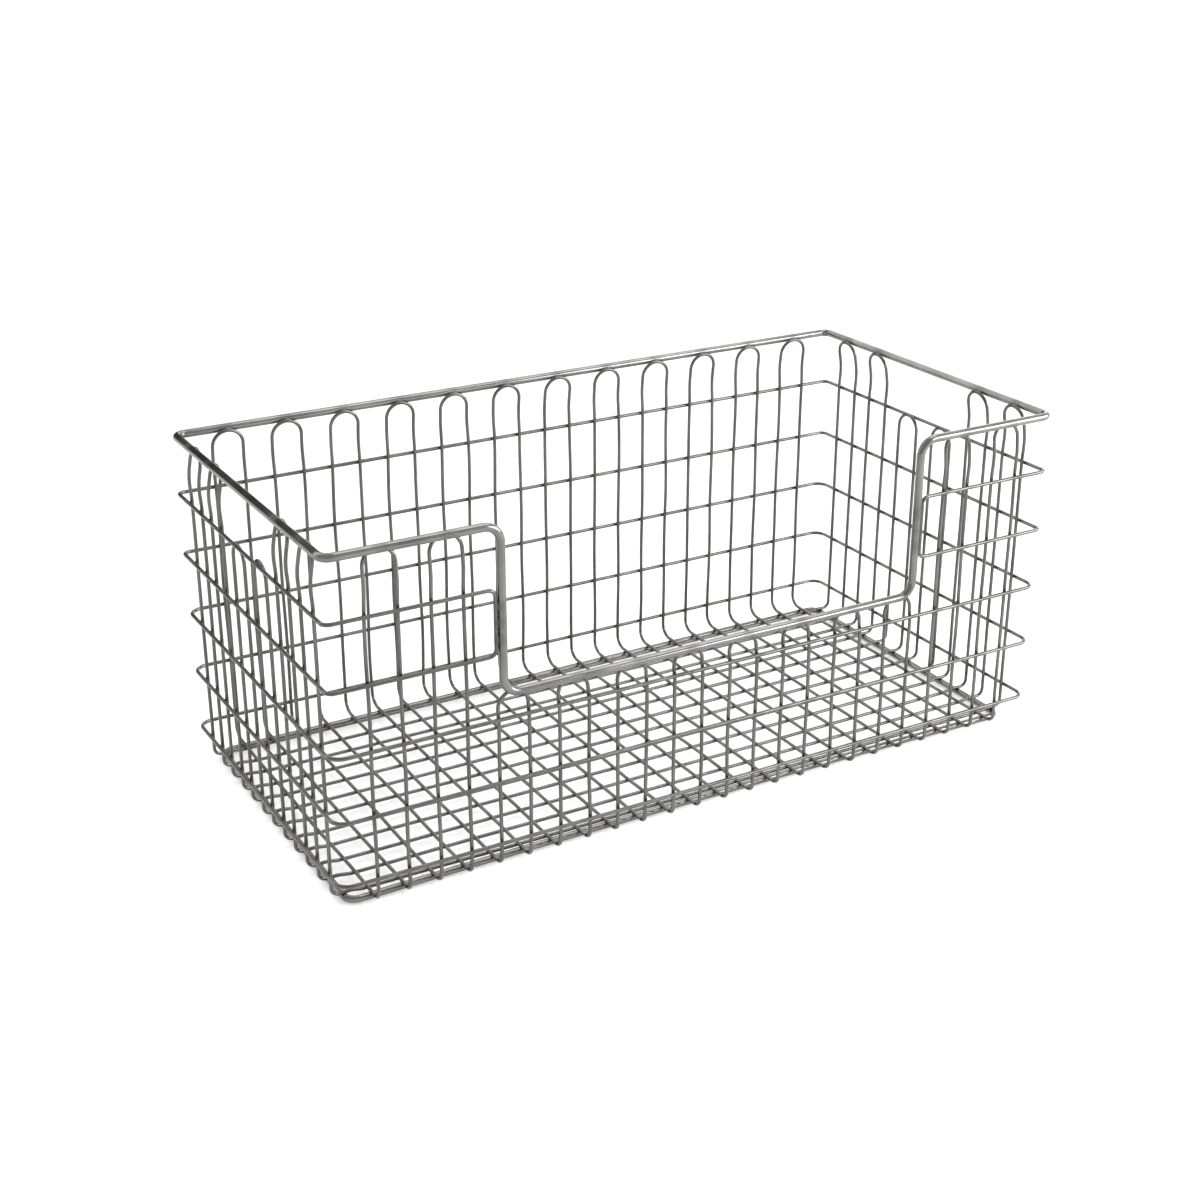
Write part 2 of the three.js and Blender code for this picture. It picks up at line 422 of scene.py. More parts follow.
@dataclass(frozen=True)
class BentWire:
    """One closed wire of the basket.

    Attributes:
        name: Name of the Blender piece.
        node: CAD node that it stands for.
        corners: Rows of x, y, z and bend radius in millimetres.
        stock: Wire that it is bent from.
        hub: Point that the first side of each section faces away from.
        hand: How it strays from its plan.
        settle: Moves the points of a wire that has settled away from its plan.
        heat_reach: Distance in millimetres over which a weld's heat fades on it.
    """

    name: str
    node: str
    corners: np.ndarray
    stock: WireStock
    hub: Point
    hand: HandBend = HandBend()
    settle: Callable[[np.ndarray], np.ndarray] | None = None
    heat_reach: float = 3.2

    def route(self) -> np.ndarray:
        """Centreline: the bent route plus the slow stray of hand bending, and then settled.

        Returns:
            Points in millimetres, shape (n, 3).
        """
        route = bent_route(self.corners, self.stock.step)
        route = route + self.hand.stray(len(route))
        return self.settle(route) if self.settle else route

    def surface(self, welds: np.ndarray) -> "WireSurface":
        """Carries a round section along the route.

        With the tangent T, the section's first side is N, the part of P - hub that is square to T,
        and its second side is T x N. The surface is P + r (N cos a + (T x N) sin a).

        Args:
            welds: Points of all welds in millimetres, for the heat that they leave on the wire.

        Returns:
            Vertices, faces and the values that the finish reads.
        """
        route = self.route()
        count, facets, radius = len(route), self.stock.facets, self.stock.radius
        tangent = unit(np.roll(route, -1, axis=0) - np.roll(route, 1, axis=0))
        away = route - np.array(self.hub)
        side = unit(away - np.sum(away * tangent, axis=1, keepdims=True) * tangent)
        other = np.cross(tangent, side)
        angle = np.linspace(0, math.tau, facets, endpoint=False)
        across, beside = radius * np.cos(angle), radius * np.sin(angle)
        spread = side[:, None] * across[:, None] + other[:, None] * beside[:, None]
        vertices = (route[:, None] + spread).reshape(-1, 3)

        row, column = np.meshgrid(np.arange(count), np.arange(facets), indexing="ij")
        next_row, next_column = (row + 1) % count, (column + 1) % facets
        quad = [row * facets + column, row * facets + next_column]
        quad += [next_row * facets + next_column, next_row * facets + column]
        faces = np.stack(quad, axis=-1).reshape(-1, 4)

        length = np.sum(np.linalg.norm(np.roll(route, -1, axis=0) - route, axis=1))
        round_trip = np.linspace(0, math.tau, count, endpoint=False)
        reach = length / math.tau
        lay = np.empty((count, facets, 3))
        lay[:, :, 0] = reach * np.cos(round_trip)[:, None]
        lay[:, :, 1] = reach * np.sin(round_trip)[:, None]
        lay[:, :, 2] = across
        turn = np.broadcast_to(beside, (count, facets))
        gap = np.linalg.norm(route[:, None] - welds[None], axis=2).min(axis=1)
        heat = np.exp(-((np.maximum(gap - radius, 0) / self.heat_reach) ** 2))
        return WireSurface(
            vertices * MM,
            faces,
            lay.reshape(-1, 3) * MM,
            turn.reshape(-1) * MM,
            np.repeat(heat, facets),
        )


@dataclass(frozen=True)
class WireSurface:
    """A mesh with the values that the steel finishes read at each vertex.

    Attributes:
        vertices: Places in metres, shape (n, 3).
        faces: Vertex numbers, shape (m, 3) or (m, 4), outwards.
        lay: Place along the wire, on a circle so that it closes, and across it, in metres.
        turn: Second place across the wire in metres.
        heat: How much of a weld's heat reached the place, from 0 to 1.
    """

    vertices: np.ndarray
    faces: np.ndarray
    lay: np.ndarray
    turn: np.ndarray
    heat: np.ndarray

    def make(self, name: str, finish: bpy.types.Material, slot: Slot) -> bpy.types.Object:
        """Puts the arrays into a Blender mesh and sets it on the basket's body.

        Args:
            name: Name of the piece.
            finish: Material of the whole piece.
            slot: Record slot that the finish belongs to; not used.

        Returns:
            The new piece.
        """
        mesh = bpy.data.meshes.new(name)
        mesh.vertices.add(len(self.vertices))
        mesh.vertices.foreach_set("co", self.vertices.astype(np.float32).ravel())
        mesh.loops.add(self.faces.size)
        mesh.loops.foreach_set("vertex_index", self.faces.astype(np.int32).ravel())
        mesh.polygons.add(len(self.faces))
        starts = np.arange(0, self.faces.size, self.faces.shape[1], dtype=np.int32)
        mesh.polygons.foreach_set("loop_start", starts)
        mesh.polygons.foreach_set("use_smooth", np.ones(len(self.faces), dtype=bool))
        lay = mesh.attributes.new("wire_lay", "FLOAT_VECTOR", "POINT")
        lay.data.foreach_set("vector", self.lay.astype(np.float32).ravel())
        turn = mesh.attributes.new("wire_turn", "FLOAT", "POINT")
        turn.data.foreach_set("value", self.turn.astype(np.float32))
        heat = mesh.attributes.new("weld_heat", "FLOAT", "POINT")
        heat.data.foreach_set("value", self.heat.astype(np.float32))
        mesh.update(calc_edges=True)
        mesh.materials.append(finish)
        piece = bpy.data.objects.new(name, mesh)
        bpy.context.scene.collection.objects.link(piece)
        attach(piece, BODY)
        log.info("%s: %d faces", name, len(self.faces))
        return piece


class NodeBench:
    """A material or world whose nodes are laid out and linked in few words.

    Attributes:
        noise_range: Values between which most of a noise lies.
    """

    noise_range: Range = (0.3, 0.7)

    def __init__(self, owner: bpy.types.Material | bpy.types.World) -> None:
        """Clears the owner's node tree.

        Args:
            owner: Material or world to work on.
        """
        owner.use_nodes = True
        self.tree = owner.node_tree
        self.tree.nodes.clear()

    def add(self, kind: str, **values: object) -> bpy.types.Node:
        """Adds a node, sets its options by name and its input sockets from the dict "inputs".

        Args:
            kind: Blender's name of the node type.
            **values: Options of the node, and "inputs" with numbers or output sockets.

        Returns:
            The new node.
        """
        node = self.tree.nodes.new(kind)
        inputs = values.pop("inputs", {})
        for option, value in values.items():
            setattr(node, option, value)
        for key, value in inputs.items():
            if isinstance(value, Socket):
                self.tree.links.new(value, node.inputs[key])
            else:
                node.inputs[key].default_value = value
        return node

    def grain(self, vector: Socket, scale: float, detail: float) -> Socket:
        """Cloudy noise in three dimensions.

        Args:
            vector: Coordinates that it lies on.
            scale: Waves to a metre.
            detail: Octaves of finer waves.

        Returns:
            Socket with a value from 0 to 1.
        """
        inputs = {"Scale": scale, "Detail": detail, "Vector": vector}
        return self.add("ShaderNodeTexNoise", inputs=inputs).outputs["Fac"]

    def spread(self, value: Socket, low: float, high: float) -> Socket:
        """Stretches the usual range of a noise over low to high.

        Args:
            value: Noise from 0 to 1.
            low: Result at the low end of that range and under it.
            high: Result at its high end and over it.

        Returns:
            Socket with the stretched value.
        """
        start, stop = self.noise_range
        inputs = {"Value": value, 1: start, 2: stop, 3: low, 4: high}
        return self.add("ShaderNodeMapRange", inputs=inputs).outputs["Result"]

    def ease(self, value: Socket, edge: Range, low: float, high: float) -> Socket:
        """Smooth step of a value from low to high.

        Args:
            value: Socket that is read.
            edge: Values at which the step starts and ends.
            low: Result before the step.
            high: Result after it.

        Returns:
            Socket with the result.
        """
        inputs = {"Value": value, 1: edge[0], 2: edge[1], 3: low, 4: high}
        kind = "ShaderNodeMapRange"
        return self.add(kind, interpolation_type="SMOOTHSTEP", inputs=inputs).outputs["Result"]

    def sum(self, one: Socket, other: Socket | float, share: Socket | float = 1.0) -> Socket:
        """Adds a share of one value to another: one * share + other."""
        inputs = {0: one, 1: share, 2: other}
        return self.add("ShaderNodeMath", operation="MULTIPLY_ADD", inputs=inputs).outputs[0]

    def tint(self, share: Socket, under: Socket | Colour, over: Colour) -> Socket:
        """Mixes two colours.

        Args:
            share: Share of the second colour.
            under: First colour.
            over: Second colour.

        Returns:
            Socket with the mixed colour.
        """
        inputs = {"Factor": share, 6: under, 7: over}
        return self.add("ShaderNodeMix", data_type="RGBA", inputs=inputs).outputs[2]

    def metal(self, colour: Socket, roughness: Socket, relief: Socket, depth: float) -> None:
        """Ends the tree of a bare metal.

        Args:
            colour: Colour of its reflections.
            roughness: Roughness of its surface.
            relief: Height of its surface, from 0 to 1.
            depth: Depth in metres of a relief of 1.
        """
        height = {"Strength": 1.0, "Distance": depth, "Height": relief}
        bump = self.add("ShaderNodeBump", inputs=height)
        steel = self.add(
            "ShaderNodeBsdfPrincipled",
            inputs={
                "Base Color": colour,
                "Metallic": 1.0,
                "Roughness": roughness,
                "Normal": bump.outputs["Normal"],
            },
        )
        self.add("ShaderNodeOutputMaterial", inputs={"Surface": steel.outputs[0]})


@dataclass(frozen=True)
class DrawnSteel:
    """Stainless wire with the fine lines that drawing leaves along it, dulled and tinted at welds.

    Attributes:
        name: Name of the material.
        dark: Steel colour in its darker patches.
        light: Steel colour in its lighter patches.
        heat_tint: Colour of the steel right beside a weld.
        heat_share: How much of that colour shows at most.
        heat_patchy: Share of it that is left in the clearer specks.
        heat_rough: How much rougher the steel is there.
        smooth: Lowest roughness.
        rough: Highest roughness.
        patch_rough: How much the darker and lighter patches change it.
        line_depth: Depth of the drawing lines in metres.
        speck_share: Height of the specks against that of the lines.
        lines_along: Waves of the lines to a metre along the wire.
        lines_across: Waves of the lines to a metre across it.
        patch_scale: Patches to a metre.
        speck_scale: Specks to a metre.
    """

    name: str
    dark: Colour
    light: Colour
    heat_tint: Colour = (0.07, 0.062, 0.054, 1.0)
    heat_share: float = 0.45
    heat_patchy: float = 0.35
    heat_rough: float = 0.12
    smooth: float = 0.16
    rough: float = 0.30
    patch_rough: Range = (-0.03, 0.04)
    line_depth: float = 0.000012
    speck_share: float = 0.35
    lines_along: float = 45.0
    lines_across: float = 5200.0
    patch_scale: float = 38.0
    speck_scale: float = 900.0

    def make(self) -> bpy.types.Material:
        """Builds the material from noise along the wire, patches and the welds' heat.

        Returns:
            The new material.
        """
        material = bpy.data.materials.new(self.name)
        bench = NodeBench(material)
        lay = bench.add("ShaderNodeAttribute", attribute_name="wire_lay").outputs["Vector"]
        turn = bench.add("ShaderNodeAttribute", attribute_name="wire_turn").outputs["Fac"]
        heat = bench.add("ShaderNodeAttribute", attribute_name="weld_heat").outputs["Fac"]
        place = bench.add("ShaderNodeTexCoord").outputs["Object"]
        scale = (self.lines_along, self.lines_along, self.lines_across)
        drawn = bench.add("ShaderNodeMapping", inputs={"Vector": lay, "Scale": scale})
        wide = bench.sum(turn, 0.0, self.lines_across)
        lines = bench.add(
            "ShaderNodeTexNoise",
            noise_dimensions="4D",
            inputs={"Scale": 1.0, "Detail": 3.0, "Vector": drawn.outputs[0], "W": wide},
        ).outputs["Fac"]
        patches = bench.grain(place, self.patch_scale, detail=3)
        specks = bench.grain(place, self.speck_scale, detail=2)

        colour = bench.tint(bench.spread(patches, 0.0, 1.0), self.dark, self.light)
        stain = bench.spread(specks, self.heat_patchy * self.heat_share, self.heat_share)
        colour = bench.tint(bench.sum(heat, 0.0, stain), colour, self.heat_tint)
        roughness = bench.spread(lines, self.smooth, self.rough)
        roughness = bench.sum(bench.spread(patches, *self.patch_rough), roughness)
        roughness = bench.sum(heat, roughness, self.heat_rough)
        bench.metal(colour, roughness, bench.sum(specks, lines, self.speck_share), self.line_depth)
        return material


@dataclass(frozen=True)
class WeldSteel:
    """Steel of a pressed weld: duller than the wire, with a grainy skin and a trace of heat colour.

    Attributes:
        name: Name of the material.
        dark: Colour in the hollows of the skin.
        light: Colour on its high places.
        smooth: Lowest roughness.
        rough: Highest roughness.
        grain_depth: Depth of the skin's grain in metres.
        grain_scale: Grains of the skin to a metre.
        tone_scale: Lighter and darker places to a metre.
    """

    name: str
    dark: Colour = (0.075, 0.069, 0.063, 1.0)
    light: Colour = (0.15, 0.143, 0.136, 1.0)
    smooth: float = 0.30
    rough: float = 0.48
    grain_depth: float = 0.00004
    grain_scale: float = 1400.0
    tone_scale: float = 120.0

    def make(self) -> bpy.types.Material:
        """Builds the material from two noises on the piece's own place.

        Returns:
            The new material.
        """
        material = bpy.data.materials.new(self.name)
        bench = NodeBench(material)
        place = bench.add("ShaderNodeTexCoord").outputs["Object"]
        skin = bench.grain(place, self.grain_scale, detail=3)
        tone = bench.grain(place, self.tone_scale, detail=2)
        colour = bench.tint(bench.spread(tone, 0.0, 1.0), self.dark, self.light)
        roughness = bench.spread(skin, self.smooth, self.rough)
        bench.metal(colour, roughness, skin, self.grain_depth)
        return material


def rectangle(x: float, y: float, z: float, radius: float) -> np.ndarray:
    """Corners of a level rectangle whose four bends have one radius.

    Args:
        x: Half its length.
        y: Half its width.
        z: Its height.
        radius: Radius of its bends.

    Returns:
        Rows of x, y, z and bend radius.
    """
    around = np.array([(-x, -y), (x, -y), (x, y), (-x, y)])
    return np.column_stack([around, np.full((len(around), 2), (z, radius))])


@dataclass(frozen=True)
class Rim:
    """Thick wire round the top, which drops into the front and runs under the cut-out.

    Attributes:
        plan: Sizes of the basket.
        corner_bend: Radius of the bends at the basket's corners.
        cutout_bend: Radius of the bends at the cut-out.
        hub: Point that its sections face away from.
    """

    plan: BasketPlan
    corner_bend: float = 7.0
    cutout_bend: float = 12.0
    hub: Point = (0.0, 0.0, 100.0)

    def wires(self) -> list[BentWire]:
        """The rim's one wire."""
        p = self.plan
        x, y, z, bend = p.rim_x, p.rim_y, p.rim_z, self.corner_bend
        edge, low, dip = p.cutout_x, p.cutout_z, self.cutout_bend
        front = [(-x, -y, z, bend), (-edge, -y, z, dip), (-edge, -y, low, dip)]
        front += [(edge, -y, low, dip), (edge, -y, z, dip), (x, -y, z, bend)]
        corners = np.array(front + [(x, y, z, bend), (-x, y, z, bend)])
        return [BentWire("round_rim", "rim_wire", corners, p.rim, self.hub)]


@dataclass(frozen=True)
class BaseFrame:
    """Thick rectangle under the floor, which the basket stands on.

    Attributes:
        plan: Sizes of the basket.
        corner_bend: Radius of its bends.
        hub: Point that its sections face away from.
    """

    plan: BasketPlan
    corner_bend: float = 8.5
    hub: Point = (0.0, 0.0, -60.0)

    def wires(self) -> list[BentWire]:
        """The base frame's one wire."""
        p = self.plan
        corners = rectangle(p.base_x, p.base_y, p.base_z, self.corner_bend)
        name = "base_frame"
        return [BentWire(f"round_{name}", name, corners, p.base, self.hub, settle=p.bowed)]


@dataclass(frozen=True)
class RingCage:
    """Rings round the outside of the legs. The two highest are one wire, turned back at the front.

    Attributes:
        plan: Sizes of the basket.
        upper_bend: Radius of the corners of the two highest rings.
        lower_bend: Radius of the corners of the other rings.
        end_bend: Radius of the bends beside the cut-out.
        hub_drop: How far the point that a ring's sections face away from lies under the ring.
    """

    plan: BasketPlan
    upper_bend: float = 5.0
    lower_bend: float = 10.0
    end_bend: float = 5.0
    hub_drop: float = 60.0

    @property
    def end_x(self) -> float:
        """Place along X where the twin ring turns down beside an upright of the cut-out."""
        return self.plan.cutout_x + self.plan.touch(self.plan.rim, self.plan.thin)

    def turn_round(self, z: float) -> np.ndarray:
        """Corners of one turn of the twin ring, from the front's left end round the back.

        Args:
            z: Height of the turn.

        Returns:
            Rows of x, y, z and bend radius.
        """
        x, y, end = self.plan.half_length, self.plan.half_width, self.end_x
        around = [(-end, -y), (-x, -y), (-x, y), (x, y), (x, -y), (end, -y)]
        bends = [self.end_bend] + [self.upper_bend] * 4 + [self.end_bend]
        return np.array([(a, b, z, bend) for (a, b), bend in zip(around, bends)])

    def wires(self) -> list[BentWire]:
        """The twin ring and the three plain rings."""
        p = self.plan
        heights = p.ring_heights
        twin = np.vstack([self.turn_round(heights[0]), self.turn_round(heights[1])[::-1]])
        hub = (0.0, 0.0, float(heights[: p.twin_turns].mean()))
        wires = [BentWire("round_twin_ring", "upper_twin_ring", twin, p.ring, hub)]
        for word, z in zip(("middle", "lower", "bottom"), heights[p.twin_turns :]):
            corners = rectangle(p.half_length, p.half_width, z, self.lower_bend)
            name, hub = f"{word}_ring", (0.0, 0.0, z - self.hub_drop)
            wires.append(BentWire(f"round_{name}", name, corners, p.ring, hub))
        return wires


@dataclass(frozen=True)
class Foot:
    """Bend in which a floor wire turns up into a wall.

    Attributes:
        bend: Its radius.
        drop: How far it hangs under the floor wires.
    """

    bend: float
    drop: float


@dataclass(frozen=True)
class LegShape:
    """Bends that the legs of all grid loops share.

    Attributes:
        plan: Sizes of the basket.
        back_foot: Bend at the foot of the back.
        front_foot: Bend at the foot of the front.
        end_foot: Bend at the foot of an end.
        bow: How far a tall leg bows outwards above the highest ring.
        bow_height: Height of the bow above that ring.
        bow_ease: Radius of the slight bends of the bow.
        ease: Radius of the slight bends under the cut-out.
        start: Height above its last ring at which a leg leaves the wall.
        seat_run: Straight length of a short leg under its round top.
        hand_hold_rise: Height of a hand-hold leg's top above the highest ring.
    """

    plan: BasketPlan
    back_foot: Foot = Foot(10.0, 0.0)
    front_foot: Foot = Foot(6.0, 1.2)
    end_foot: Foot = Foot(5.5, 1.3)
    bow: float = 1.1
    bow_height: float = 19.0
    bow_ease: float = 60.0
    ease: float = 26.0
    start: float = 3.0
    seat_run: float = 3.0
    hand_hold_rise: float = 1.0

    def tall(self, wall: float, seat: float, width: float, foot: Foot) -> np.ndarray:
        """Side view of a leg that bows out over the highest ring and leans in under the rim.

        Args:
            wall: Distance of the wall from the middle of the basket.
            seat: Distance of the loop's top from there.
            width: Distance between the loop's two legs.
            foot: Bend at the wall's foot.

        Returns:
            Rows of distance out, height and bend radius, from the foot upwards.
        """
        p = self.plan
        return np.array(
            [
                (wall, p.cross_z - foot.drop, foot.bend),
                (wall, p.top_ring_z + self.start, self.bow_ease),
                (wall + self.bow, p.top_ring_z + self.bow_height, self.bow_ease),
                (seat, p.rim_z - p.top_drop, width / 2),
            ]
        )

    def under_cutout(self, wall: float, seat: float, width: float) -> np.ndarray:
        """Side view of a leg that ends inside the lower edge of the cut-out; as for a tall leg."""
        p = self.plan
        top = p.cutout_z - p.top_drop
        return np.array(
            [
                (wall, p.cross_z - self.front_foot.drop, self.front_foot.bend),
                (wall, p.middle_ring_z - self.start, self.ease),
                (seat, top - width / 2 - self.seat_run, self.ease),
                (seat, top, width / 2),
            ]
        )

    def under_hand_hold(self, wall: float, width: float, drop: float) -> np.ndarray:
        """Side view of a leg that ends at the highest ring, lower by a drop; as for a tall leg."""
        p = self.plan
        top = p.top_ring_z + self.hand_hold_rise - drop
        low = p.cross_z - self.end_foot.drop
        return np.array([(wall, low, self.end_foot.bend), (wall, top, width / 2)])

    @staticmethod
    def hairpin(far: np.ndarray, near: np.ndarray, floor: np.ndarray) -> np.ndarray:
        """Closed hairpin: up the far wall, over its top, down, across the floor, and the near wall.

        Args:
            far: Side view of the legs of the far wall.
            near: Side view of the legs of the near wall.
            floor: Side view of the bends between the middle of the floor and a wall.

        Returns:
            Rows of distance out, which leg (-0.5 or 0.5), height and bend radius.
        """

        def walk(view: np.ndarray, wall: Wall, leg: float) -> np.ndarray:
            """Side view on one leg of one wall, as rows of out, leg, height and radius."""
            return np.column_stack([wall.value * view[:, 0], np.full(len(view), leg), view[:, 1:]])

        up_far, up_near = np.vstack([floor, far]), np.vstack([floor, near])
        return np.vstack(
            [
                walk(up_far, Wall.FAR, -0.5),
                walk(up_far, Wall.FAR, 0.5)[::-1],
                walk(up_near, Wall.NEAR, 0.5),
                walk(up_near, Wall.NEAR, -0.5)[::-1],
            ]
        )


@dataclass(frozen=True)
class CrossGrid:
    """Hairpin loops across the basket. Their floor lies on the base frame.

    Attributes:
        plan: Sizes of the basket.
        legs: Shape of their legs.
        stray: How far a leg strays from its plan, in millimetres.
        first_seed: Number that the chance of the first loop's stray starts from.
        hub_height: Height of the point that a loop's sections face away from.
    """

    plan: BasketPlan
    legs: LegShape
    stray: float = 0.6
    first_seed: int = 1
    hub_height: float = 130.0

    def wires(self) -> list[BentWire]:
        """All loops across the basket, from the left end to the right end."""
        p, width = self.plan, self.plan.cross_pitch
        back = self.legs.tall(p.leg_y, p.seat_y, width, self.legs.back_foot)
        tall = self.legs.tall(p.leg_y, p.seat_y, width, self.legs.front_foot)
        low = self.legs.under_cutout(p.leg_y, p.seat_y, width)
        none = np.empty((0, 3))
        wires = []
        for i, middle in enumerate(p.cross_middles):
            front = low if p.ends_in_cutout(middle) else tall
            out, leg, up, bend = self.legs.hairpin(back, front, none).T
            corners = np.column_stack([middle + leg * width, out, up, bend])
            name = f"cross_loop_{i + 1:02d}"
            hand = HandBend((self.stray, 0.0, 0.0), self.first_seed + i)
            hub = (float(middle), 0.0, self.hub_height)
            wires.append(BentWire(f"round_{name}", name, corners, p.thin, hub, hand, p.dished))
        return wires


@dataclass(frozen=True)
class LongGrid:
    """Hairpin loops along the basket, whose floor lies under the cross loops.

    That floor steps up over the ends of the base frame.

    Attributes:
        plan: Sizes of the basket.
        legs: Shape of their legs.
        step_ease: Radius of the bends of the step.
        step_clear: Room between the step and the base frame, and the last cross wire.
        stray: How far a leg strays from its plan, in millimetres.
        left_drop: How much lower the rear hand-hold loop ends at the left end than elsewhere.
        first_seed: Number that the chance of the first loop's stray starts from.
        hub_height: Height of the point that a loop's sections face away from.
    """

    plan: BasketPlan
    legs: LegShape
    step_ease: float = 8.0
    step_clear: float = 2.5
    stray: float = 0.35
    left_drop: float = 2.6
    first_seed: int = 41
    hub_height: float = 130.0

    def wires(self) -> list[BentWire]:
        """All loops along the basket, from the front to the back."""
        p, width = self.plan, self.plan.long_loop_width
        tall = self.legs.tall(p.leg_x, p.seat_x, width, self.legs.end_foot)
        rise = p.base_x - p.base.radius - self.step_clear
        floor = np.array(
            [
                (p.last_cross_x + self.step_clear, p.long_z, self.step_ease),
                (rise, p.cross_z - p.floor_press, self.step_ease),
            ]
        )
        wires = []
        for i, middle in enumerate(p.long_middles):
            right, left = tall, tall
            if p.ends_at_hand_hold(middle):
                drop = self.left_drop if middle > 0 else 0.0
                right = self.legs.under_hand_hold(p.leg_x, width, 0.0)
                left = self.legs.under_hand_hold(p.leg_x, width, drop)
            out, leg, up, bend = self.legs.hairpin(right, left, floor).T
            corners = np.column_stack([out, middle + leg * width, up, bend])
            name = f"long_loop_{i + 1}"
            hand = HandBend((0.0, self.stray, 0.0), self.first_seed + i)
            hub = (0.0, float(middle), self.hub_height)
            wires.append(BentWire(f"round_{name}", name, corners, p.thin, hub, hand, p.dished))
        return wires


@dataclass(frozen=True)
class WeldRow:
    """Welds of one kind.

    Attributes:
        places: Middles of the welds in millimetres, shape (n, 3).
        through: Way from one wire to the other.
        run: Way in which a long weld runs.
        size: Half the weld's size through the wires, along it and across it.
        vary: Share by which these sizes vary from weld to weld.
    """

    places: np.ndarray
    through: Way
    run: Way
    size: Sizes = (0.62, 1.05, 1.05)
    vary: float = 0.12

    def surface(self, chance: np.random.Generator) -> tuple[np.ndarray, np.ndarray]:
        """Flattened spots: a small ball stretched along the weld's three ways.

        A ball's vertex (u, v, w) becomes P + u a T + v b R + w c (T x R), where T is the way
        through the wires, R that of the run, and the half sizes a, b and c vary a little.

        Args:
            chance: Source of the variation.

        Returns:
            Vertices in millimetres and triangles.
        """
        ball, triangles = self.ball()
        through, run = np.array(self.through.value), np.array(self.run.value)
        ways = np.array([through, run, np.cross(through, run)])
        count = len(self.places)
        half = chance.uniform(1 - self.vary, 1 + self.vary, (count, 1, 3)) * np.array(self.size)
        vertices = self.places[:, None] + (ball[None] * half) @ ways
        numbers = triangles[None] + np.arange(count)[:, None, None] * len(ball)
        return vertices.reshape(-1, 3), numbers.reshape(-1, 3)

    @staticmethod
    def ball(around: int = 8, bands: int = 4) -> tuple[np.ndarray, np.ndarray]:
        """Ball of few faces: circles of sin(l) at the heights cos(l), closed at both poles.

        Args:
            around: Vertices on each circle.
            bands: Bands of faces from pole to pole.

        Returns:
            Vertices on the unit ball, whose poles lie on the first axis, and outward triangles.
        """
        down = np.linspace(0, math.pi, bands + 1)[1:-1]
        turn = np.linspace(0, math.tau, around, endpoint=False)
        height = np.repeat(np.cos(down), around)
        aside = np.outer(np.sin(down), np.cos(turn)).ravel()
        above = np.outer(np.sin(down), np.sin(turn)).ravel()
        vertices = np.vstack([(1, 0, 0), np.column_stack([height, aside, above]), (-1, 0, 0)])
        here = np.arange(around)
        beside = (here + 1) % around
        first = 1 + np.arange(bands - 2)[:, None] * around
        a, b = first + here, first + beside
        c, d = a + around, b + around
        sides = np.concatenate([np.stack([a, c, b], -1), np.stack([b, c, d], -1)]).reshape(-1, 3)
        last = len(vertices) - 1
        low = last - around
        top = np.column_stack([np.zeros(around, int), 1 + here, 1 + beside])
        foot = np.column_stack([np.full(around, last), low + beside, low + here])
        return vertices, np.vstack([top, sides, foot])


